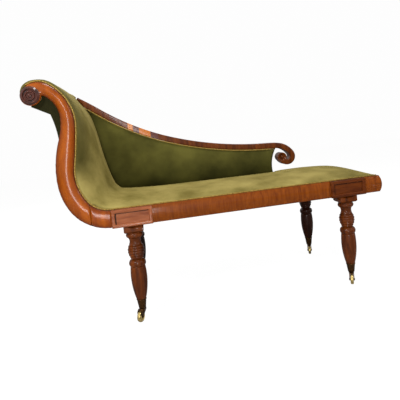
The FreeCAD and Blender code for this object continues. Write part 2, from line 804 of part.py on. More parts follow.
def make_wheel(label):
    """The solid brass wheel: a rounded tread, dished sides and a hub."""
    half = size("wheel_width") / 2
    round_off = size("wheel_rounding")
    bore = size("axle_radius") + clear
    hub = bore + 3
    dish = half - 1.6
    right = [(half, bore), (half, hub), (dish, hub + 1.5), (dish, wheel_r - round_off - 1.5),
             (half, wheel_r - round_off), (half - 0.3 * round_off, wheel_r - 0.3 * round_off),
             (half - round_off, wheel_r)]
    left = [(-x, r) for x, r in reversed(right)]
    return spindle(label, right + left)


for place, (x, y, heading) in LEG_PLACES.items():
    stand = Placement(Vector(x, y, 0), Rotation())
    turned_to = Placement(Vector(x, y, 0), Rotation(Vector(0, 0, 1), heading))
    for body, label, where in ((make_leg(place + "_leg"), place + "_leg", stand),
                               (make_cup(place + "_castor_cup"), place + "_castor_cup", stand),
                               (make_horn(place + "_castor_horn"), place + "_castor_horn", turned_to),
                               (make_axle(place + "_castor_axle"), place + "_castor_axle", turned_to),
                               (make_wheel(place + "_castor_wheel"), place + "_castor_wheel", turned_to)):
        body.Placement = where
        keep(body, label)


# The crest rail of the back: one long ogee that ends in an open volute.
CREST_ARCS = ["shoulder", "fall", "run", "lip"]
crest_arcs = arc_list("crest", CREST_ARCS, [-1, 1, 1, -1])
crest_arcs += arc_list("volute", ["top", "side"], [-1, -1])
crest_run = (Vector(-size("crest_start_x"), rail_top + size("crest_start_rise"), 0), -size("crest_heading"), crest_arcs)
crest_low = shifted(*crest_run, size("crest_width"))


def in_xz(edges, y):
    """Edges drawn in (x, z), stood up in the plane at depth y."""
    stand_up = Placement(Vector(0, y, 0), Rotation(Vector(1, 0, 0), 90))
    shapes = []
    for edge in edges:
        shape = edge.toShape() if not isinstance(edge, Part.Shape) else edge.copy()
        shape.Placement = stand_up.multiply(shape.Placement)
        shapes.append(shape)
    return shapes


def plate(edges, y0, y1):
    """A closed outline drawn in (x, z), thickened from y0 to y1."""
    face = Part.Face(Part.Wire(in_xz(edges, y0)))
    return face.extrude(Vector(0, y1 - y0, 0))


crest_part = (crest_run[0], crest_run[1], crest_arcs[:4])
top_edges, side_end, side_heading = run_edges(*crest_run)
base_edges, base_end, base_heading = run_edges(side_end, side_heading, arc_list("volute", ["base"], [-1]))
low_edges, inside_end, _ = run_edges(*shifted(*crest_run, size("crest_width")))
eye_r = size("volute_eye_radius")
eye_centre = base_end - left_of(base_heading) * eye_r - heading_vector(base_heading) * size("volute_eye_drop")
crest_foot = crest_run[0] - left_of(crest_run[1]) * size("crest_width")
band_edges = top_edges + [Part.LineSegment(side_end, inside_end)] + backwards(low_edges)
band_edges.append(Part.LineSegment(crest_foot, crest_run[0]))
crest_back = core_out
band = plate(band_edges, size("crest_front"), crest_back)
front_rims = [edge for edge in band.Edges
              if edge.BoundBox.YMax < size("crest_front") + 0.01 and edge.Length > size("crest_width") + 3]
band = band.makeFillet(size("crest_rounding"), front_rims)
base_edges += [Part.LineSegment(base_end, eye_centre), Part.LineSegment(eye_centre, inside_end),
               Part.LineSegment(inside_end, side_end)]
band = band.fuse(plate(base_edges, size("crest_front"), crest_back))
eye = Part.makeCylinder(eye_r, crest_back - size("crest_front"), Vector(eye_centre.x, size("crest_front"), eye_centre.y),
                        Vector(0, 1, 0))
dish = Part.makeCylinder(0.62 * eye_r, 4, Vector(eye_centre.x, size("crest_front") - 1, eye_centre.y), Vector(0, 1, 0))
button = Part.makeSphere(0.36 * eye_r, Vector(eye_centre.x, size("crest_front") + 4, eye_centre.y))
board_room = plate(scroll_outline(board_joint_x, size("board_inset") - 1), -core_out - 5, core_out + 5)
crest_shape = band.fuse(eye).cut(dish).fuse(button).cut(board_room)
crest_shape = max(crest_shape.Solids, key=lambda solid: solid.Volume)
crest = doc.addObject("Part::Feature", "back_crest_rail")
crest.Shape = crest_shape
keep(crest, "back_crest_rail")


def crest_height(x, drop):
    """Height of a line that runs under the crest's top edge by drop, at a place along the seat."""
    run = shifted(*crest_run, drop)
    low, high = 0.0, run_length(run[2][:5])
    for _ in range(40):
        halfway = (low + high) / 2
        if along(*run, halfway)[0].x < x:
            low = halfway
        else:
            high = halfway
    return along(*run, low)[0].y


# The frame of the back under the crest: a rail on the seat rail, a post at the hollow end and
# an upright in the middle.
frame_y0 = half_pitch - size("back_frame_depth") / 2
frame_y1 = half_pitch + size("back_frame_depth") / 2
back_end = size("back_end_x")
hollow = size("back_end_hollow")
post_w = size("back_post_width")
under_crest = size("crest_width") + seat_air
rail_head_x = board_joint_x - 60
plain_box("back_bottom_rail", rail_head_x + 62, frame_y0, core_top + seat_air, back_end - post_w - seat_air,
          frame_y1, core_top + seat_air + size("back_rail_height"))
flare = size("back_end_flare")
post_top = crest_height(back_end + flare, under_crest)
post_left = back_end - post_w
post_foot = core_top + seat_air


def end_line(out):
    """The hollow line of the back's foot end, moved out from the post's face."""
    return Part.Arc(Vector(back_end + out, post_foot, 0),
                    Vector(back_end - hollow + out, post_foot + 0.5 * (post_top - post_foot), 0),
                    Vector(back_end + flare + out, post_top, 0))


left_top = Vector(post_left, crest_height(post_left, under_crest), 0)
post_edges = [Part.LineSegment(Vector(post_left, post_foot, 0), Vector(back_end, post_foot, 0)), end_line(0.0),
              Part.LineSegment(Vector(back_end + flare, post_top, 0), left_top),
              Part.LineSegment(left_top, Vector(post_left, post_foot, 0))]
post = doc.addObject("Part::Feature", "back_end_post")
post.Shape = plate(post_edges, frame_y0, frame_y1)
keep(post, "back_end_post")
upright_x = 0.38 * back_end
upright_top = [crest_height(x, under_crest) for x in (upright_x, upright_x + post_w)]
upright_foot = core_top + 2 * seat_air + size("back_rail_height")
upright = doc.addObject("Part::Feature", "back_upright")
upright.Shape = plate(loop([(upright_x, upright_foot), (upright_x + post_w, upright_foot),
                            (upright_x + post_w, upright_top[1]), (upright_x, upright_top[0])]), frame_y0, frame_y1)
keep(upright, "back_upright")


# Jute webbing under the seat: straps across the rails, and long straps over them.
strap_w = size("webbing_width")
strap_t = size("webbing_thickness")
strap_z = core_top + 0.05
straps = []
first_x = 0.9 * half_tablet
strap_pitch = 1.45 * strap_w
count = int((foot_inner - first_x) / strap_pitch)
for index in range(count):
    x = first_x + index * strap_pitch
    reach_back = core_out - 4 if x > back_end + 10 else frame_y0 - 2
    straps.append(Part.makeBox(strap_w, reach_back + core_out - 4, strap_t, Vector(x, -core_out + 4, strap_z)))
for y in (-1.7 * strap_w, 0.0, 1.7 * strap_w):
    straps.append(Part.makeBox(foot_core - 4 - head_rail_x + 12, strap_w, strap_t,
                               Vector(head_rail_x - 12, y - strap_w / 2, strap_z + strap_t)))
compound("seat_webbing", straps)

straps = []
inner_length = run_length(inner_run[2])
strap_low = 1.5 * seat_air - size("board_inset")
for share in (0.24, 0.36, 0.48, 0.6, 0.7, 0.92):
    stations = [share * inner_length + step for step in (-strap_w / 2, 0, strap_w / 2)]
    rows = []
    for lift in (strap_low, strap_low + strap_t):
        rows.append([point - left_of(heading) * lift for point, heading in
                     [along(*inner_run, station) for station in stations]])
    strap_edges = [Part.Arc(*rows[0]), Part.LineSegment(rows[0][2], rows[1][2]), Part.Arc(*reversed(rows[1])),
                   Part.LineSegment(rows[1][0], rows[0][0])]
    straps.append(plate(strap_edges, -half_pitch, half_pitch))
compound("head_webbing", straps)

straps = []
for x in (0.1 * back_end, 0.5 * back_end, 0.74 * back_end):
    top = min(crest_height(x, under_crest), crest_height(x + strap_w, under_crest)) - seat_air
    foot = core_top + seat_air + 4
    straps.append(Part.makeBox(strap_w, strap_t, top - foot, Vector(x, frame_y0 - strap_t - 0.1, foot)))
compound("back_webbing", straps)

# The black lining tacked under the rails.
lining = size("lining_thickness")
lining_plate = Part.makeBox(foot_core - 20 - joint_x + 5, 2 * half_pitch - 4, lining,
                            Vector(joint_x - 5, -half_pitch + 2, underside - lining - 0.05))
leg_room = size("block_side") / 2 + 0.5
for x, y, _ in LEG_PLACES.values():
    lining_plate = lining_plate.cut(Part.makeBox(2 * leg_room, 2 * leg_room, 20,
                                                 Vector(x - leg_room, y - leg_room, underside - 10)))
base_lining = doc.addObject("Part::Feature", "base_lining")
base_lining.Shape = lining_plate
keep(base_lining, "base_lining")

# Oak dowels that join the rails to the scroll boards and to the foot rail.
dowels = []
dowel_r = size("dowel_radius")
dowel_l = size("dowel_length")
for y in (-half_pitch, half_pitch):
    for z in dowel_levels:
        dowels.append(Part.makeCylinder(dowel_r, dowel_l, Vector(board_joint_x - dowel_l / 2, y, z), Vector(1, 0, 0)))
compound("frame_dowels", dowels)


# The head's inside pad: it follows the scroll from the seat to the roll and over it, thickest low
# down, and crowned across the width.
def share_of(y, half_width):
    return 1 - abs(y / half_width) ** 2.4


# The pad's face in the middle of the head: a place along the scroll, then how far from the leg's
# axis and how high over the rail the face stands there.
HEAD_FACE = [(0.05, -46.0, 26.0), (0.12, -61.0, 57.0), (0.23, -77.0, 98.0), (0.32, -88.0, 140.0), (0.41, -98.0, 180.0),
             (0.49, -108.0, 234.0), (0.575, -119.0, 284.0), (0.69, -142.0, 350.0), (0.79, -180.0, 416.0)]
roll_stops = (0.88, 1.0)


def spline(points):
    curve = Part.BSplineCurve()
    curve.interpolate(points)
    return curve


pad_back = strap_low + strap_t + seat_air


def head_section(y, half_width):
    """One cut through the pad at depth y: its back on the scroll, its face at the crown's height."""
    back_points = []
    face_points = []
    for share, crown_x, crown_rise in HEAD_FACE:
        point, heading = along(*inner_run, share * inner_length)
        out = -left_of(heading)
        edge_point = point + out * size("pad_edge")
        crown_point = Vector(crown_x, rail_top + crown_rise, 0)
        back_points.append(point + out * (pad_back - 3))
        face_points.append(edge_point + (crown_point - edge_point) * share_of(y, half_width))
    for share in roll_stops:
        point, heading = along(*inner_run, share * inner_length)
        out = -left_of(heading)
        back_points.append(point + out * (pad_back - 3))
        face_points.append(point + out * (size("head_pad_roll") - 2 + 2 * share_of(y, half_width)))
    left = roll_centre + heading_vector(185) * size("scroll_end_radius")
    back_points.append(left + heading_vector(185) * (pad_back - 3))
    face_points.append(left + heading_vector(185) * 2.5)
    wire = [spline(face_points), Part.LineSegment(face_points[-1], back_points[-1]),
            spline(list(reversed(back_points))), Part.LineSegment(back_points[0], face_points[0])]
    return Part.Wire(in_xz(wire, y))


pad_half = core_out - seat_air
pad_cuts = [-1.0, -0.93, -0.7, -0.35, 0.0, 0.35, 0.7, 0.93, 1.0]
head_shape = Part.makeLoft([head_section(cut * pad_half, pad_half) for cut in pad_cuts], True, False)
back_face_y = size("crest_front") - size("back_pad_crown")
wall_points = [(crest_run[0].x - 6, crest_run[0].y + 8), (20, crest_height(20, -6)), (20, underside + 20),
               (-240, underside + 20), (-240, 780)]
wall = plate(loop(wall_points), back_face_y, core_out + 20)
head_pad = doc.addObject("Part::Feature", "head_pad")
head_room = plate(scroll_outline(board_joint_x, -pad_back), -core_out - 5, core_out + 5)
crease_low = Vector(-3 * half_tablet, rail_top - 8, 0)
crease_high = Vector(half_tablet, rail_top + 102.4, 0)


def beside_crease(up):
    """All that lies over or under the crease between the head pad and the seat pad."""
    gap = Vector(0, -0.15 * up, 0)
    low, high = crease_low + gap, crease_high + gap
    far = Vector(0, 700 * up, 0)
    return plate([Part.LineSegment(low, high), Part.LineSegment(high, high + far),
                  Part.LineSegment(high + far, low + far), Part.LineSegment(low + far, low)], -core_out - 9, core_out + 9)


head_parts = head_shape.cut(wall).cut(head_room).cut(beside_crease(-1)).Solids
head_pad.Shape = max(head_parts, key=lambda solid: solid.Volume)
keep(head_pad, "head_pad")


# The seat pad: webbing height below, crowned above, reaching the rear rail beyond the back.
def seat_section(x, y0, y1, edge_z, crown_z):
    base = core_top + 2 * strap_t + 0.4
    low_front = Vector(x, y0 + 1, base)
    low_rear = Vector(x, y1 - 1, base)
    front = Vector(x, y0, edge_z)
    rear = Vector(x, y1, edge_z)
    over = Vector(x, (y0 + y1) / 2, crown_z)
    return Part.Wire([Part.LineSegment(low_front, front).toShape(), Part.Arc(front, over, rear).toShape(),
                      Part.LineSegment(rear, low_rear).toShape(), Part.LineSegment(low_rear, low_front).toShape()])


pad_front = -core_out + seat_air
rail_level = rail_top + size("seat_edge_rise")
crown = rail_top + size("seat_crown")
near_back = back_face_y - seat_air
# Places along the seat, with how far the edge and the crown rise there over their usual heights.
SEAT_HEAD = [(-110.0, 18.0, 26.0), (-80.0, 9.0, 20.0), (-50.0, 4.0, 14.0), (-20.0, 1.5, 10.0), (20.0, 0.0, 7.0),
             (80.0, 0.0, 3.5), (140.0, 0.0, 1.5), (210.0, 0.0, 0.5)]
head_cuts = [(x, rail_level + edge, crown + middle) for x, edge, middle in SEAT_HEAD]
head_cuts += [(x, rail_level, crown) for x in (cross_x, back_end + 6)]
seat_head = Part.makeLoft([seat_section(x, pad_front, near_back, edge, z) for x, edge, z in head_cuts], True, True)
far_back = core_out - seat_air
sections = [(back_end + 6, crown), (back_end + 70, crown), (size("leg_pitch_x"), crown - 2),
            (foot_core - 70, crown - 6), (foot_core - 24, crown - 14), (foot_core - seat_air, rail_level + 1)]
seat_foot = Part.makeLoft([seat_section(x, pad_front, far_back, rail_level, z) for x, z in sections], True, False)
seat_pad = doc.addObject("Part::Feature", "seat_pad")
seat_whole = seat_head.fuse(seat_foot).removeSplitter().cut(head_room).cut(beside_crease(1))
seat_pad.Shape = max(seat_whole.Solids, key=lambda solid: solid.Volume)
keep(seat_pad, "seat_pad")


# The inside pad of the back, under the crest, and cut to the hollow end.
def back_section(x):
    top = crest_height(x, under_crest) - 1
    foot = core_top + 2 * strap_t + 0.4
    rear_y = frame_y0 - strap_t - 0.6
    edge_y = size("crest_front") + 2
    crown_y = back_face_y + seat_air
    return Part.Wire([Part.LineSegment(Vector(x, rear_y, foot), Vector(x, edge_y - 6, foot)).toShape(),
                      Part.Arc(Vector(x, edge_y - 6, foot), Vector(x, crown_y, (foot + top) / 2),
                               Vector(x, edge_y, top)).toShape(),
                      Part.LineSegment(Vector(x, edge_y, top), Vector(x, rear_y, top)).toShape(),
                      Part.LineSegment(Vector(x, rear_y, top), Vector(x, rear_y, foot)).toShape()])


def beyond_end(out):
    """Everything past the hollow end."""
    high = Vector(back_end + flare + out, post_top, 0)
    far = back_end + 400
    return plate([end_line(out), Part.LineSegment(high, Vector(high.x + 60, 700, 0)),
                  Part.LineSegment(Vector(high.x + 60, 700, 0), Vector(far, 700, 0)),
                  Part.LineSegment(Vector(far, 700, 0), Vector(far, post_foot, 0)),
                  Part.LineSegment(Vector(far, post_foot, 0), Vector(back_end + out, post_foot, 0))], 0, core_out + 60)


cover_t = size("cover_thickness")
shares = (-0.234, -0.09, 0.09, 0.31, 0.54, 0.77, 1.05)
back_pad = doc.addObject("Part::Feature", "back_pad")
back_loft = Part.makeLoft([back_section(share * back_end) for share in shares], True, False)
back_pad.Shape = back_loft.cut(board_room).cut(beyond_end(0.0))
keep(back_pad, "back_pad")

# The fabric that closes the hollow end, over the post and the pad's end.
end_top = Vector(back_end + flare + seat_air, post_top, 0)
end_edges = [end_line(seat_air), Part.LineSegment(end_top, end_top + Vector(cover_t, 0, 0)),
             backwards([end_line(seat_air + cover_t)])[0],
             Part.LineSegment(Vector(back_end + seat_air + cover_t, post_foot, 0), Vector(back_end + seat_air, post_foot, 0))]
end_cover = doc.addObject("Part::Feature", "back_end_cover")
over_webbing = Part.makeBox(80, 300, core_top + 2 * strap_t + 0.4 - post_foot, Vector(back_end - 20, 0, post_foot))
end_cover.Shape = plate(end_edges, size("crest_front") - 2, frame_y1).cut(over_webbing)
keep(end_cover, "back_end_cover")

# The outside cover of the back, stretched on the rear of its frame.
cover_run = shifted(crest_part[0], crest_part[1], crest_part[2], under_crest)
cover_edges, cover_end, _ = run_edges(*cover_run)
cover_edges += [Part.LineSegment(cover_end, Vector(cover_end.x, post_foot, 0)),
                Part.LineSegment(Vector(cover_end.x, post_foot, 0), Vector(cover_run[0].x, post_foot, 0)),
                Part.LineSegment(Vector(cover_run[0].x, post_foot, 0), cover_run[0])]
cover_sheet = plate(cover_edges, frame_y1 + 0.1, frame_y1 + 0.1 + cover_t)
back_cover = doc.addObject("Part::Feature", "back_outside_cover")
cover_parts = cover_sheet.cut(beyond_end(0.0)).cut(board_room).Solids
back_cover.Shape = max(cover_parts, key=lambda solid: solid.Volume)
keep(back_cover, "back_outside_cover")

# The outside cover of the head: a thin skin on the belly, and a full cove under the roll.
skin_outer = shifted(*outer_run, seat_air)
skin_inner = shifted(*outer_run, size("board_inset") - seat_air)
belly_arcs = skin_outer[2][:3]
belly_edges, belly_end, belly_heading = run_edges(skin_outer[0], skin_outer[1], belly_arcs)
inner_edges, inner_end, _ = run_edges(*skin_inner)
roll_low = roll_centre + heading_vector(262) * (size("scroll_end_radius") + 3)
neck_point, neck_heading = along(*outer_run, run_length(outer_run[2][:4]) + 22)
cove_mid = neck_point + left_of(neck_heading) * size("cove_fill")
cove_edges = [Part.Arc(belly_end, belly_end + (cove_mid - belly_end) * 0.5 - left_of(belly_heading) * 3, cove_mid),
              Part.LineSegment(cove_mid, roll_low),
              Part.LineSegment(roll_low, inner_end)]
cover_edges = belly_edges + cove_edges + backwards(inner_edges)
cover_edges.append(Part.LineSegment(skin_inner[0], skin_outer[0]))
head_cover = doc.addObject("Part::Feature", "head_outside_cover")
board_solid = plate(scroll_outline(board_joint_x, size("board_inset")), -core_out - 5, core_out + 5)
head_cover.Shape = plate(cover_edges, -core_out + seat_air, core_out).cut(board_room).cut(board_solid)
keep(head_cover, "head_outside_cover")


# Gimp braid: a cord along the edge where fabric meets show-wood.
def braid(label, edges, y, extra=()):
    path = Part.Wire(in_xz(edges, y) + list(extra))
    start = path.Edges[0]
    first = start.valueAt(start.FirstParameter)
    tangent = start.tangentAt(start.FirstParameter)
    ring_wire = Part.Wire([Part.makeCircle(size("gimp_radius"), first, tangent)])
    feature = doc.addObject("Part::Feature", label)
    feature.Shape = path.makePipeShell([ring_wire], True, False, 2)
    return keep(feature, label)


gimp = size("gimp_radius")
gimp_run = shifted(*inner_run, gimp + 0.15)
gimp_edges, _, _ = run_edges(*gimp_run)
braid("head_gimp", gimp_edges, -core_out - gimp - 0.2)
rail_line = [Part.LineSegment(Vector(joint_x, rail_top + gimp + 0.1, 0), Vector(foot_core - 2, rail_top + gimp + 0.1, 0))]
braid("seat_gimp", rail_line, -core_out - gimp - 0.2)
lip_radius, lip_turn = crest_arcs[3]
short_arcs = crest_arcs[:3] + [(lip_radius, 0.25 * lip_turn)]
gimp_edges, _, _ = run_edges(*shifted(crest_run[0], crest_run[1], short_arcs, size("crest_width") + gimp + 0.2))
braid("back_gimp", gimp_edges, size("crest_front") - gimp - 0.3)


# The part's origin is under the middle of its box.
doc.recompute()
box = FreeCAD.BoundBox()
for piece in pieces:
    box.add(piece.Shape.BoundBox)
home = Vector(-(box.XMin + box.XMax) / 2, -(box.YMin + box.YMax) / 2, 0)
for piece in pieces:
    piece.Placement = Placement(home, Rotation()).multiply(piece.Placement)
doc.recompute()

for thing in doc.Objects:
    if "Invalid" in thing.State or "Error" in thing.State:
        raise ValueError("%s is %s" % (thing.Label, thing.State))
for piece in pieces:
    if piece.Shape.isNull() or not piece.Shape.isValid() or not piece.Shape.Solids:
        raise ValueError("%s has no sound shape" % piece.Label)

os.makedirs("parts", exist_ok=True)
for piece in pieces:
    piece.Shape.exportStep("parts/%s.step" % piece.Label)
print(len(pieces), "pieces", "home", home.x, home.y)
print("box %.1f %.1f %.1f" % (box.XLength, box.YLength, box.ZLength), "low %.2f" % box.ZMin)
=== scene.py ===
import json
import math

import bmesh
import bpy
from mathutils import Matrix, Vector, kdtree

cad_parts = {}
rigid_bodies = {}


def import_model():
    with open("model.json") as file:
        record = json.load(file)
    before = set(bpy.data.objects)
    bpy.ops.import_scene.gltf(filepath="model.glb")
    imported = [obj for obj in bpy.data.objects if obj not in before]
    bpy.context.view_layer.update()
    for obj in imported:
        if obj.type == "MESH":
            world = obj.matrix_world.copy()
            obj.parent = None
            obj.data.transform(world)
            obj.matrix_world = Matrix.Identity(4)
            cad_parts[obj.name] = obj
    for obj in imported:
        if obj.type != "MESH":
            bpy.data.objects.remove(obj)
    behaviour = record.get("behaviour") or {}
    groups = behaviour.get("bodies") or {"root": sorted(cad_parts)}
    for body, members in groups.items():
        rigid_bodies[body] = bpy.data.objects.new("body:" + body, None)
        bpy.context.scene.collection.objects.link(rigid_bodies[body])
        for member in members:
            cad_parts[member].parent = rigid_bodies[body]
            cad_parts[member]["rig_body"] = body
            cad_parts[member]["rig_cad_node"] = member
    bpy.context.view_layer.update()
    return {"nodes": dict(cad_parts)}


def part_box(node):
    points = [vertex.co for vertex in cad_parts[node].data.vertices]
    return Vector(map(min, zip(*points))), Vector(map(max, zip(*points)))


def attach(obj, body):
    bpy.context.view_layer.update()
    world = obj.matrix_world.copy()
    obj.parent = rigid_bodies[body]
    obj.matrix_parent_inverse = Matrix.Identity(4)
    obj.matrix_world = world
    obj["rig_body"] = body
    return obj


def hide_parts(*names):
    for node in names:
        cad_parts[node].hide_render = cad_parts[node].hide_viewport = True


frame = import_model()
nodes = frame["nodes"]


# The place where the recamier stands: a seamless white floor in a white room, seen from before
# the head end and lit by four windows and a lamp on the ceiling.
def middle_of(node):
    low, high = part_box(node)
    return (low + high) / 2


head_leg = middle_of("head_front_leg")
camera_beside_leg = 0.0549
camera_before_leg = 1.5522
camera_height = 0.6551
camera_yaw = math.radians(10.74)
camera_dip = math.radians(2.70)
camera_roll = math.radians(-5.72)

bpy.ops.object.select_all(action="DESELECT")
bpy.ops.object.camera_add()
camera = bpy.context.object
camera.name = "camera"
camera.data.lens = 39.25
camera.data.sensor_width = 36.0
camera.data.shift_x = -0.06
camera.data.shift_y = -0.135
camera.data.clip_start = 0.05
stand = Matrix.Translation((head_leg.x + camera_beside_leg, head_leg.y - camera_before_leg, camera_height))
turn = Matrix.Rotation(-camera_yaw, 4, "Z") @ Matrix.Rotation(math.pi / 2 - camera_dip, 4, "X")
camera.matrix_world = stand @ turn @ Matrix.Rotation(camera_roll, 4, "Z")
bpy.context.scene.camera = camera
bpy.context.scene.view_settings.view_transform = "Standard"

floor_width = 14
floor_gap = 0.0006
bpy.ops.mesh.primitive_plane_add(size=floor_width, location=(0, 0, -floor_gap))
floor = bpy.context.object
floor.name = "floor"
paper = bpy.data.materials.new("white_floor")
paper.use_nodes = True
tree = paper.node_tree
tree.nodes.clear()
matt = tree.nodes.new("ShaderNodeBsdfDiffuse")
matt.inputs["Color"].default_value = (0.6, 0.6, 0.6, 1)
glow = tree.nodes.new("ShaderNodeEmission")
glow.inputs["Color"].default_value = (1, 1, 1, 1)
glow.inputs["Strength"].default_value = 1.23
seen = tree.nodes.new("ShaderNodeLightPath")
share = tree.nodes.new("ShaderNodeMath")
share.operation = "MULTIPLY"
share.inputs[1].default_value = 0.78
blend = tree.nodes.new("ShaderNodeMixShader")
surface = tree.nodes.new("ShaderNodeOutputMaterial")
tree.links.new(seen.outputs["Is Camera Ray"], share.inputs[0])
tree.links.new(share.outputs[0], blend.inputs["Fac"])
tree.links.new(matt.outputs[0], blend.inputs[1])
tree.links.new(glow.outputs[0], blend.inputs[2])
tree.links.new(blend.outputs[0], surface.inputs["Surface"])
floor.data.materials.append(paper)

world = bpy.data.worlds.new("white_room")
bpy.context.scene.world = world
world.use_nodes = True
tree = world.node_tree
tree.nodes.clear()
dim = tree.nodes.new("ShaderNodeBackground")
dim.inputs["Color"].default_value = (1.0, 0.99, 0.97, 1)
dim.inputs["Strength"].default_value = 0.14
white = tree.nodes.new("ShaderNodeBackground")
white.inputs["Color"].default_value = (1, 1, 1, 1)
white.inputs["Strength"].default_value = 0.985
seen = tree.nodes.new("ShaderNodeLightPath")
either = tree.nodes.new("ShaderNodeMath")
either.operation = "MAXIMUM"
any_of = tree.nodes.new("ShaderNodeMath")
any_of.operation = "MAXIMUM"
blend = tree.nodes.new("ShaderNodeMixShader")
surface = tree.nodes.new("ShaderNodeOutputWorld")
tree.links.new(seen.outputs["Is Camera Ray"], either.inputs[0])
tree.links.new(seen.outputs["Is Transmission Ray"], either.inputs[1])
tree.links.new(seen.outputs["Is Glossy Ray"], any_of.inputs[0])
tree.links.new(either.outputs[0], any_of.inputs[1])
tree.links.new(any_of.outputs[0], blend.inputs["Fac"])
tree.links.new(dim.outputs[0], blend.inputs[1])
tree.links.new(white.outputs[0], blend.inputs[2])
tree.links.new(blend.outputs[0], surface.inputs["Surface"])

lamps = (
    ("front_window", (-0.36, -2.95, 0.8), (0.24, 1.4), 46.0),
    ("left_window", (-1.7, -2.1, 2.2), (0.4, 0.4), 52.0),
    ("right_window", (1.9, -1.4, 1.6), (0.3, 0.9), 8.0),
    ("ceiling", (0.3, -0.5, 2.9), (1.2, 0.4), 36.0),
    ("back_window", (-0.9, 2.6, 1.9), (1.2, 0.8), 16.0),
)
lamp_aim = Vector((0, 0, 0.45))
for name, place, (width, height), power in lamps:
    bpy.ops.object.light_add(type="AREA", location=place)
    lamp = bpy.context.object
    lamp.name = name
    lamp.data.shape = "RECTANGLE"
    lamp.data.size = width
    lamp.data.size_y = height
    lamp.data.energy = power
    lamp.rotation_euler = (lamp_aim - Vector(place)).to_track_quat("-Z", "Y").to_euler()


# The scroll facing: a half-round mahogany moulding, french polished, glued and pinned to the
# front scroll board in two lengths with a hairline splice low in the sweep.
def srgb(red, green, blue):
    """A colour as seen, from 0 to 255, in the linear light that a shader takes."""
    linear = []
    for c in (red, green, blue):
        linear.append((c / 255 / 12.92) if c < 11 else ((c / 255 + 0.055) / 1.055) ** 2.4)
    return tuple(linear) + (1,)


def timber(name, dark, light, grain, gloss, mottle=0.35, haze=0.13):
    """Wood whose figure has a given number of streaks per metre along X, Y and Z."""
    material = bpy.data.materials.new(name)
    material.use_nodes = True
    tree = material.node_tree
    shader = tree.nodes["Principled BSDF"]
    place = tree.nodes.new("ShaderNodeTexCoord")
    stretch = tree.nodes.new("ShaderNodeMapping")
    stretch.inputs["Scale"].default_value = grain
    figure = tree.nodes.new("ShaderNodeTexNoise")
    figure.inputs["Scale"].default_value = 1.0
    figure.inputs["Detail"].default_value = 7.0
    figure.inputs["Roughness"].default_value = 0.62
    figure.inputs["Distortion"].default_value = 0.5
    ramp = tree.nodes.new("ShaderNodeValToRGB")
    ramp.color_ramp.elements[0].position = 0.33
    ramp.color_ramp.elements[0].color = dark
    ramp.color_ramp.elements[1].position = 0.68
    ramp.color_ramp.elements[1].color = light
    cloud = tree.nodes.new("ShaderNodeTexNoise")
    cloud.inputs["Scale"].default_value = 14.0
    cloud.inputs["Detail"].default_value = 2.0
    shade = tree.nodes.new("ShaderNodeMix")
    shade.data_type = "RGBA"
    shade.blend_type = "MULTIPLY"
    shade.inputs["B"].default_value = (0.45, 0.38, 0.34, 1)
    much = tree.nodes.new("ShaderNodeMapRange")
    much.inputs["From Min"].default_value = 0.4
    much.inputs["From Max"].default_value = 0.75
    much.inputs["To Max"].default_value = mottle
    pores = tree.nodes.new("ShaderNodeTexNoise")
    pores.inputs["Scale"].default_value = 4.0
    pores.inputs["Detail"].default_value = 3.0
    bump = tree.nodes.new("ShaderNodeBump")
    bump.inputs["Strength"].default_value = 0.12
    bump.inputs["Distance"].default_value = 0.0004
    tree.links.new(place.outputs["Object"], stretch.inputs["Vector"])
    tree.links.new(stretch.outputs["Vector"], figure.inputs["Vector"])
    tree.links.new(stretch.outputs["Vector"], pores.inputs["Vector"])
    tree.links.new(place.outputs["Object"], cloud.inputs["Vector"])
    tree.links.new(figure.outputs["Fac"], ramp.inputs["Fac"])
    tree.links.new(cloud.outputs["Fac"], much.inputs["Value"])
    tree.links.new(much.outputs["Result"], shade.inputs["Factor"])
    tree.links.new(ramp.outputs["Color"], shade.inputs["A"])
    tree.links.new(shade.outputs["Result"], shader.inputs["Base Color"])
    tree.links.new(pores.outputs["Fac"], bump.inputs["Height"])
    tree.links.new(bump.outputs["Normal"], shader.inputs["Normal"])
    shader.inputs["Roughness"].default_value = 0.46
    shader.inputs["Specular IOR Level"].default_value = 0.06
    shader.inputs["Coat Weight"].default_value = 0.2 * gloss
    shader.inputs["Coat Roughness"].default_value = haze
    return material


def finished(node, material, body="frame", angle=35.0):
    """A copy of a CAD piece with its facets joined and smoothed, which stands for the piece."""
    bpy.ops.object.select_all(action="DESELECT")
    source = nodes[node]
    source.select_set(True)
    bpy.context.view_layer.objects.active = source
    bpy.ops.object.duplicate()
    piece = bpy.context.object
    piece.name = node + "_finished"
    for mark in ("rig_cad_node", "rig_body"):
        if mark in piece:
            del piece[mark]
    piece.parent = None
    bpy.ops.object.mode_set(mode="EDIT")
    bpy.ops.mesh.select_all(action="SELECT")
    bpy.ops.mesh.remove_doubles(threshold=0.00001)
    bpy.ops.object.mode_set(mode="OBJECT")
    bpy.ops.object.shade_smooth_by_angle(angle=math.radians(angle))
    piece.data.materials.clear()
    piece.data.materials.append(material)
    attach(piece, body)
    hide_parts(node)
    return piece


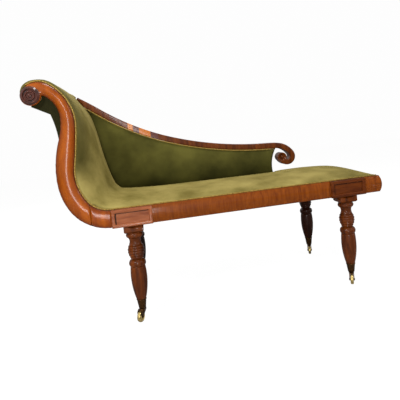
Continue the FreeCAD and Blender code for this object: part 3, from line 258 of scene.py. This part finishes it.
def half_round(piece, back_y, bulge, keep_round):
    """Work a piece's front face to a half-round between its two long edges.

    The edges are read from the piece's own back face, and a saw cut across it, which is one long
    straight edge, is none of them. Round the middle of keep_round the face stays as it is."""
    edges = bmesh.new()
    edges.from_mesh(piece.data)
    shore = []
    for edge in edges.edges:
        start, end = edge.verts[0].co, edge.verts[1].co
        on_back = abs(start.y - back_y) < flat_within and abs(end.y - back_y) < flat_within
        sides = [abs(face.normal.y) > 0.9 for face in edge.link_faces]
        if on_back and any(sides) and not all(sides) and edge.calc_length() < saw_cut:
            steps = max(1, int(edge.calc_length() / shore_step))
            shore += [start.lerp(end, step / steps) for step in range(steps)]
    edges.free()
    tree = kdtree.KDTree(len(shore))
    for number, point in enumerate(shore):
        tree.insert((point.x, 0, point.z), number)
    tree.balance()

    remesh = piece.modifiers.new("remesh", "REMESH")
    remesh.mode = "VOXEL"
    remesh.voxel_size = facing_voxel
    bpy.context.view_layer.objects.active = piece
    bpy.ops.object.modifier_apply(modifier="remesh")
    middle, full, faded = keep_round
    # The attribute holds painted shade for the material: low where the half-round turns down to its long
    # edges, 1 on the crown and round the roll.
    edge_shade = piece.data.attributes.new("edge_shade", "FLOAT", "POINT")
    for vertex in piece.data.vertices:
        here = Vector((vertex.co.x, 0, vertex.co.z))
        near, _, near_gap = tree.find(here)
        away = (near - here) / max(near_gap, 1e-6)
        far_gap = half_width_limit
        for point, _, gap in tree.find_range(here, half_width_limit):
            if gap < far_gap and (point - here).dot(away) < -0.6 * gap:
                far_gap = gap
        share = near_gap / (near_gap + far_gap)
        height = math.sqrt(max(0.0, 1 - (1 - 2 * share) ** 2))
        drop = max(0.0, cad_rounding - near_gap)
        worked = bulge - cad_rounding + math.sqrt(max(0.0, cad_rounding ** 2 - drop ** 2))
        fade = min(1.0, max(0.0, ((here - middle).length - full) / (faded - full)))
        scale = 1 + fade * (bulge * height / worked - 1)
        vertex.co.y = back_y + (vertex.co.y - back_y) * scale
        edge_shade.data[vertex.index].value = 1 - fade * (1 - height)
    ease = piece.modifiers.new("ease", "SMOOTH")
    ease.factor = 0.5
    ease.iterations = 26
    bpy.ops.object.modifier_apply(modifier="ease")
    bpy.ops.object.shade_smooth()


flat_within = 0.0002
shore_step = 0.001
facing_voxel = 0.0021
saw_cut = 0.038
half_width_limit = 0.085
cad_rounding = 0.0125
scroll_low, scroll_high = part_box("scroll_facing")
face_bulge = scroll_high.y - scroll_low.y
roll_middle = Vector((middle_of("scroll_roundel").x, 0, middle_of("scroll_roundel").z))
scroll_wood = timber("scroll_mahogany", srgb(120, 50, 2), srgb(160, 79, 6), (26, 26, 5), 1.4, 0.3, 0.17)
tree = scroll_wood.node_tree
shader = tree.nodes["Principled BSDF"]
under = shader.inputs["Base Color"].links[0].from_socket
# Painted shade: the base colour darkens toward the facing's long edges, where the half-round turns away
# from the light.
edge = tree.nodes.new("ShaderNodeAttribute")
edge.attribute_name = "edge_shade"
darker = tree.nodes.new("ShaderNodeMapRange")
darker.inputs["From Min"].default_value = 0.25
darker.inputs["From Max"].default_value = 0.95
darker.inputs["To Min"].default_value = 1.0
darker.inputs["To Max"].default_value = 0.0
edge_shade_tint = tree.nodes.new("ShaderNodeMix")
edge_shade_tint.data_type = "RGBA"
edge_shade_tint.blend_type = "MULTIPLY"
edge_shade_tint.inputs["B"].default_value = (0.34, 0.24, 0.2, 1)
tree.links.new(edge.outputs["Fac"], darker.inputs["Value"])
tree.links.new(darker.outputs["Result"], edge_shade_tint.inputs["Factor"])
tree.links.new(under, edge_shade_tint.inputs["A"])
tree.links.new(edge_shade_tint.outputs["Result"], shader.inputs["Base Color"])
for node in ("scroll_facing", "scroll_facing_foot"):
    facing = finished(node, scroll_wood)
    half_round(facing, scroll_high.y, face_bulge, (roll_middle, 0.033, 0.050))


# The roundel: turned in one piece with two rings round a button, stained darker than the scroll,
# and glued over the end of the roll.
roundel_wood = timber("roundel_mahogany", srgb(38, 14, 8), srgb(84, 38, 24), (50, 50, 20), 3.0)
finished("scroll_roundel", roundel_wood, angle=25)


# The rail facings: convex mouldings veneered with mahogany across the grain, mitred at the foot.
rail_wood = timber("rail_veneer", srgb(96, 41, 2), srgb(130, 64, 6), (120, 120, 6), 0.8, 0.35)
# The foot rail facing takes a darker copy of the veneer: painted shade at the far end of the rail.
foot_rail_shaded_wood = timber("foot_rail_veneer", srgb(88, 37, 2), srgb(122, 60, 8), (120, 120, 6), 0.8, 0.35)
def let_in(material, limits, colour):
    """A line or patch of another colour in a wood, between limits such as ("X", low, high)."""
    tree = material.node_tree
    shader = tree.nodes["Principled BSDF"]
    under = shader.inputs["Base Color"].links[0].from_socket
    place = tree.nodes.new("ShaderNodeTexCoord")
    split = tree.nodes.new("ShaderNodeSeparateXYZ")
    patch = tree.nodes.new("ShaderNodeMix")
    patch.data_type = "RGBA"
    patch.inputs["B"].default_value = colour
    tree.links.new(place.outputs["Object"], split.inputs[0])
    so_far = None
    for axis, low, high in limits:
        within = tree.nodes.new("ShaderNodeMath")
        within.operation = "COMPARE"
        within.inputs[1].default_value = (low + high) / 2
        within.inputs[2].default_value = (high - low) / 2
        tree.links.new(split.outputs[axis], within.inputs[0])
        if so_far:
            both = tree.nodes.new("ShaderNodeMath")
            both.operation = "MULTIPLY"
            tree.links.new(so_far.outputs[0], both.inputs[0])
            tree.links.new(within.outputs[0], both.inputs[1])
            within = both
        so_far = within
    tree.links.new(so_far.outputs[0], patch.inputs["Factor"])
    tree.links.new(under, patch.inputs["A"])
    tree.links.new(patch.outputs["Result"], shader.inputs["Base Color"])


veneer_seam_x = 0.301
veneer_seam_width = 0.0014
let_in(rail_wood, [("X", veneer_seam_x, veneer_seam_x + veneer_seam_width)], srgb(62, 26, 4))
for node in ("front_rail_facing", "front_corner_facing"):
    finished(node, rail_wood)
finished("foot_rail_facing", foot_rail_shaded_wood)


# The tablets: a mitred border round a sunk panel, on the rail over each front leg. The shadow
# that the border casts on its left and upper sides is drawn in colour.
# The head tablet takes a lighter copy of the mahogany and the foot tablet a darker one: painted light and
# shade, brighter at the head end.
head_tablet_wood = timber("head_tablet_mahogany", srgb(112, 56, 30), srgb(154, 90, 56), (8, 60, 60), 0.6)
foot_tablet_wood = timber("foot_tablet_mahogany", srgb(70, 28, 6), srgb(104, 50, 14), (8, 60, 60), 0.6)
border = 0.012
panel_depth = 0.003
line_on_border = 0.002
line_beside = 0.0035
line_below = 0.003
shadow_line = srgb(26, 10, 4)
for node, wood in (("head_tablet", head_tablet_wood), ("foot_tablet", foot_tablet_wood)):
    low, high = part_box(node)
    sunk = ("Y", low.y + panel_depth, high.y)
    beside = ("X", low.x + border - line_on_border, low.x + border + line_beside)
    below = ("Z", high.z - border - line_below, high.z - border + line_on_border)
    let_in(wood, [sunk, beside], shadow_line)
    let_in(wood, [sunk, below], shadow_line)
    finished(node, wood, angle=20)


# The crest rail: beech sawn to the ogee, cross-banded with mahogany, its end carved to the volute.
# Four short pieces of the banding have been let in later, two of them in a paler wood.
crest_wood = timber("crest_veneer", srgb(62, 25, 5), srgb(114, 57, 14), (50, 50, 6), 0.6, 0.4)
crest_patches = (
    (-0.303, -0.282, srgb(186, 112, 46)),
    (-0.282, -0.256, srgb(92, 56, 50)),
    (-0.256, -0.208, srgb(178, 102, 38)),
    (-0.208, -0.176, srgb(86, 50, 44)),
)
for start, end, colour in crest_patches:
    let_in(crest_wood, [("X", start, end)], colour)
finished("back_crest_rail", crest_wood)


# The legs: turned from single squares of mahogany, and left square where they meet the rail.
leg_wood = timber("leg_mahogany", srgb(56, 21, 2), srgb(108, 50, 6), (45, 45, 6), 1.0)
# The rear legs take a darker copy of the leg wood: painted shade where they stand under the seat.
rear_leg_shaded_wood = timber("rear_leg_mahogany", srgb(26, 8, 2), srgb(48, 19, 6), (45, 45, 6), 0.6)
legs = ("head_front", "foot_front", "head_rear", "foot_rear")
for leg in legs:
    finished(leg + "_leg", rear_leg_shaded_wood if "rear" in leg else leg_wood)


# The castors: cast brass sockets on the tenons, horns that turn on a riveted pivot, and solid
# brass wheels, which the floor keeps bright.
def brass(name, colour, roughness):
    """Cast brass of a given colour, darker where tarnish has settled."""
    material = bpy.data.materials.new(name)
    material.use_nodes = True
    tree = material.node_tree
    shader = tree.nodes["Principled BSDF"]
    shader.inputs["Metallic"].default_value = 0.9
    shader.inputs["Roughness"].default_value = roughness
    place = tree.nodes.new("ShaderNodeTexCoord")
    tarnish = tree.nodes.new("ShaderNodeTexNoise")
    tarnish.inputs["Scale"].default_value = 220.0
    tarnish.inputs["Detail"].default_value = 4.0
    ramp = tree.nodes.new("ShaderNodeValToRGB")
    ramp.color_ramp.elements[0].position = 0.35
    ramp.color_ramp.elements[0].color = tuple(0.45 * c for c in colour[:3]) + (1,)
    ramp.color_ramp.elements[1].position = 0.62
    ramp.color_ramp.elements[1].color = colour
    tree.links.new(place.outputs["Object"], tarnish.inputs["Vector"])
    tree.links.new(tarnish.outputs["Fac"], ramp.inputs["Fac"])
    tree.links.new(ramp.outputs["Color"], shader.inputs["Base Color"])
    return material


aged_brass = brass("aged_brass", srgb(72, 46, 18), 0.36)
worn_brass = brass("worn_brass", srgb(200, 176, 112), 0.3)
for leg in legs:
    finished(leg + "_castor_cup", aged_brass, "frame", 30)
    finished(leg + "_castor_horn", aged_brass, leg + "_horn", 30)
    finished(leg + "_castor_axle", aged_brass, leg + "_horn", 30)
    finished(leg + "_castor_wheel", worn_brass, leg + "_wheel", 30)


# The hidden frame: boards and rails of sawn beech, doweled and glue-blocked.
def coloured(names, material):
    """Give a material to CAD pieces that stay as they are."""
    for name in names:
        nodes[name].data.materials.clear()
        nodes[name].data.materials.append(material)


beech = timber("sawn_beech", srgb(150, 116, 76), srgb(190, 154, 108), (12, 70, 70), 0.0)
beech_pieces = (
    "front_scroll_board", "front_seat_rail", "foot_end_rail", "head_bottom_rail", "head_middle_rail",
    "seat_cross_rail", "corner_blocks", "back_bottom_rail", "back_end_post", "back_upright", "frame_dowels",
)
coloured(beech_pieces, beech)


# The webbing that carries the stuffing, and the black lining tacked under the rails.
def cloth(name, dark, light, patch, weave, sheen):
    """Woven or napped cloth: patches of a given number per metre, threads of another."""
    material = bpy.data.materials.new(name)
    material.use_nodes = True
    tree = material.node_tree
    shader = tree.nodes["Principled BSDF"]
    shader.inputs["Roughness"].default_value = 0.85
    shader.inputs["Sheen Weight"].default_value = sheen
    shader.inputs["Sheen Roughness"].default_value = 0.35
    shader.inputs["Specular IOR Level"].default_value = 0.1
    shader.inputs["Sheen Tint"].default_value = light
    place = tree.nodes.new("ShaderNodeTexCoord")
    patches = tree.nodes.new("ShaderNodeTexNoise")
    patches.inputs["Scale"].default_value = patch
    patches.inputs["Detail"].default_value = 4.0
    patches.inputs["Roughness"].default_value = 0.55
    ramp = tree.nodes.new("ShaderNodeValToRGB")
    ramp.color_ramp.elements[0].position = 0.34
    ramp.color_ramp.elements[0].color = dark
    ramp.color_ramp.elements[1].position = 0.68
    ramp.color_ramp.elements[1].color = light
    threads = tree.nodes.new("ShaderNodeTexNoise")
    threads.inputs["Scale"].default_value = weave
    threads.inputs["Detail"].default_value = 1.0
    bump = tree.nodes.new("ShaderNodeBump")
    bump.inputs["Strength"].default_value = 0.35
    bump.inputs["Distance"].default_value = 0.0006
    tree.links.new(place.outputs["Object"], patches.inputs["Vector"])
    tree.links.new(place.outputs["Object"], threads.inputs["Vector"])
    tree.links.new(patches.outputs["Fac"], ramp.inputs["Fac"])
    tree.links.new(ramp.outputs["Color"], shader.inputs["Base Color"])
    tree.links.new(threads.outputs["Fac"], bump.inputs["Height"])
    tree.links.new(bump.outputs["Normal"], shader.inputs["Normal"])
    return material


jute = cloth("jute_webbing", srgb(120, 96, 62), srgb(158, 130, 90), 60, 900, 0.1)
coloured(("seat_webbing", "head_webbing", "back_webbing"), jute)
lining = cloth("black_lining", srgb(18, 18, 18), srgb(34, 33, 32), 40, 1200, 0.0)
coloured(("base_lining",), lining)


# The seat and the head: hair stuffing in stitched cases on the webbing, under one olive velvet
# that is drawn from the rails over the seat, up the scroll and round the roll.
def painted_shade(material, axis, start, end, tint, above=None):
    """Velvet with painted shade toward one side: tinted at start, as written from end on, and only above a
    height when one is given."""
    tree = material.node_tree
    shader = tree.nodes["Principled BSDF"]
    plain = shader.inputs["Base Color"].links[0].from_socket
    place = tree.nodes.new("ShaderNodeTexCoord")
    split = tree.nodes.new("ShaderNodeSeparateXYZ")
    tree.links.new(place.outputs["Object"], split.inputs[0])
    product = tree.nodes.new("ShaderNodeMath")
    product.operation = "MULTIPLY"
    product.inputs[1].default_value = 1.0
    spans = [(axis, end, start)]
    if above is not None:
        spans.append(("Z", above - 0.05, above + 0.05))
    for number, (along, none, full) in enumerate(spans):
        reach = tree.nodes.new("ShaderNodeMapRange")
        reach.interpolation_type = "SMOOTHSTEP"
        reach.inputs["From Min"].default_value = min(none, full)
        reach.inputs["From Max"].default_value = max(none, full)
        reach.inputs["To Min"].default_value = 0.0 if none < full else 1.0
        reach.inputs["To Max"].default_value = 1.0 if none < full else 0.0
        tree.links.new(split.outputs[along], reach.inputs["Value"])
        tree.links.new(reach.outputs["Result"], product.inputs[number])
    tone = tree.nodes.new("ShaderNodeMix")
    tone.data_type = "RGBA"
    tone.blend_type = "MULTIPLY"
    tone.inputs["B"].default_value = tint
    tree.links.new(product.outputs[0], tone.inputs["Factor"])
    tree.links.new(plain, tone.inputs["A"])
    tree.links.new(tone.outputs["Result"], shader.inputs["Base Color"])


def stuffed(piece, voxel, tacked, swell, crease=None):
    """Work a soft piece as cloth: it swells by up to swell except where tacked, and the cover is
    drawn smooth over the place called crease."""
    remesh = piece.modifiers.new("remesh", "REMESH")
    remesh.mode = "VOXEL"
    remesh.voxel_size = voxel
    bpy.context.view_layer.objects.active = piece
    bpy.ops.object.modifier_apply(modifier="remesh")
    if crease:
        loose = piece.vertex_groups.new(name="loose")
        for vertex in piece.data.vertices:
            weight = crease(vertex.co)
            if weight > 0:
                loose.add([vertex.index], weight, "REPLACE")
        drawn = piece.modifiers.new("drawn", "SMOOTH")
        drawn.factor = 0.5
        drawn.iterations = 160
        drawn.vertex_group = "loose"
        bpy.ops.object.modifier_apply(modifier="drawn")
    held = piece.vertex_groups.new(name="tacked")
    held.add([vertex.index for vertex in piece.data.vertices if tacked(vertex.co)], 1.0, "REPLACE")
    rest = [vertex.co.copy() for vertex in piece.data.vertices]
    cloth_work = piece.modifiers.new("stuffing", "CLOTH")
    cloth_work.settings.use_pressure = True
    cloth_work.settings.uniform_pressure_force = stuffing_pressure
    cloth_work.settings.effector_weights.gravity = 0.0
    cloth_work.settings.vertex_group_mass = "tacked"
    cloth_work.point_cache.frame_start = 1
    cloth_work.point_cache.frame_end = cloth_steps
    for number in range(1, cloth_steps + 1):
        bpy.context.scene.frame_set(number)
    bpy.ops.object.modifier_apply(modifier="stuffing")
    for vertex, start in zip(piece.data.vertices, rest):
        moved = vertex.co - start
        if moved.length > swell:
            vertex.co = start + moved * (swell / moved.length)
    bpy.context.scene.frame_set(1)
    piece.vertex_groups.clear()
    even = piece.modifiers.new("even", "SMOOTH")
    even.factor = 0.5
    even.iterations = 4
    bpy.ops.object.modifier_apply(modifier="even")
    bpy.ops.object.shade_smooth()


stuffing_pressure = 4.0
cloth_steps = 20
seat_low, seat_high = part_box("seat_pad")
head_low, head_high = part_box("head_pad")
rail_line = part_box("front_rail_facing")[1].z
crease_middle = Vector((head_high.x - 0.012, 0, head_low.z + 0.018))
crease_reach = 0.085
velvet = cloth("olive_velvet", srgb(104, 93, 42), srgb(158, 143, 82), 8, 1400, 0.35)
# Painted shade: the seat darkens toward its foot end.
painted_shade(velvet, "X", seat_high.x - 0.02, seat_high.x - 0.30, (0.66, 0.66, 0.58, 1))
# Painted shade: high on the head the velvet darkens next to the scroll facing.
painted_shade(velvet, "Y", head_low.y + 0.02, head_low.y + 0.12, (0.4, 0.42, 0.36, 1), above=rail_line + 0.14)
cushioning = finished("seat_pad", velvet)
over_scroll = finished("head_pad", velvet)
wad_radius = 0.014
wad_place = (head_low.x + 0.205, seat_low.y + 0.0155, rail_line + 0.022)
bpy.ops.mesh.primitive_ico_sphere_add(subdivisions=3, radius=wad_radius, location=wad_place)
corner_wad = bpy.context.object
bpy.ops.object.select_all(action="DESELECT")
corner_wad.select_set(True)
over_scroll.select_set(True)
cushioning.select_set(True)
bpy.context.view_layer.objects.active = cushioning
bpy.ops.object.join()
cushioning.name = "seat_and_head_cushioning"
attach(cushioning, "frame")
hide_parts("seat_pad", "head_pad")
tack_height = 0.006
tack_margin = 0.008
selvage = 0.004
selvage_fade = 0.03


def seat_tacked(point):
    """Whether the cover is nailed down here, by the rails or by its front and rear edges."""
    if point.z < rail_line + tack_height:
        return True
    return point.y < seat_low.y + tack_margin or point.y > seat_high.y - tack_margin


def seat_crease(point):
    """How freely the cover is drawn over the crease here, from 0 to 1."""
    away = ((point - crease_middle) * Vector((1, 0, 1))).length / crease_reach
    inward = (point.y - seat_low.y - selvage) / selvage_fade
    return max(0.0, 1 - away) * min(1.0, max(0.0, inward))


seat_voxel = 0.006
seat_swell = 0.004
stuffed(cushioning, seat_voxel, seat_tacked, seat_swell, seat_crease)


# The inside of the back, thinly stuffed, between the crest and the seat.
back_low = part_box("back_pad")[0]
back_voxel = 0.005
back_swell = 0.002
back_tack_depth = 0.012
velvet_back = cloth("back_velvet", srgb(48, 46, 12), srgb(86, 82, 34), 6, 1400, 0.25)
# Painted shade: the inside back darkens toward the seat.
painted_shade(velvet_back, "Z", back_low.z, back_low.z + 0.14, (0.6, 0.62, 0.5, 1))
back = finished("back_pad", velvet_back)
back.name = "back_cushioning"
stuffed(back, back_voxel, lambda point: point.y > back_low.y + back_tack_depth, back_swell)


# The outside covers: velvet stretched over the back of the head, over the rear of the back, and
# over its hollow end. The roll core wears it too, and the rear boards are stained beech.
# The outside covers and the roll core take a much darker copy of the velvet: painted shade on the sides
# turned away from the light.
outside_velvet_shaded = cloth("outside_velvet", srgb(17, 17, 4), srgb(34, 32, 9), 8, 1400, 0.1)
for node in ("head_outside_cover", "back_outside_cover"):
    finished(node, outside_velvet_shaded)
coloured(("head_roll_core",), outside_velvet_shaded)
stained = timber("stained_beech", srgb(60, 30, 14), srgb(92, 52, 26), (12, 70, 70), 0.2)
coloured(("rear_scroll_board", "rear_seat_rail"), stained)
finished("back_end_cover", velvet_back)


# The braid that hides the tacks along the scroll, the front rail and the crest.
braid = cloth("yellow_braid", srgb(98, 78, 28), srgb(178, 146, 76), 300, 900, 0.1)
for node in ("head_gimp", "seat_gimp", "back_gimp"):
    finished(node, braid)
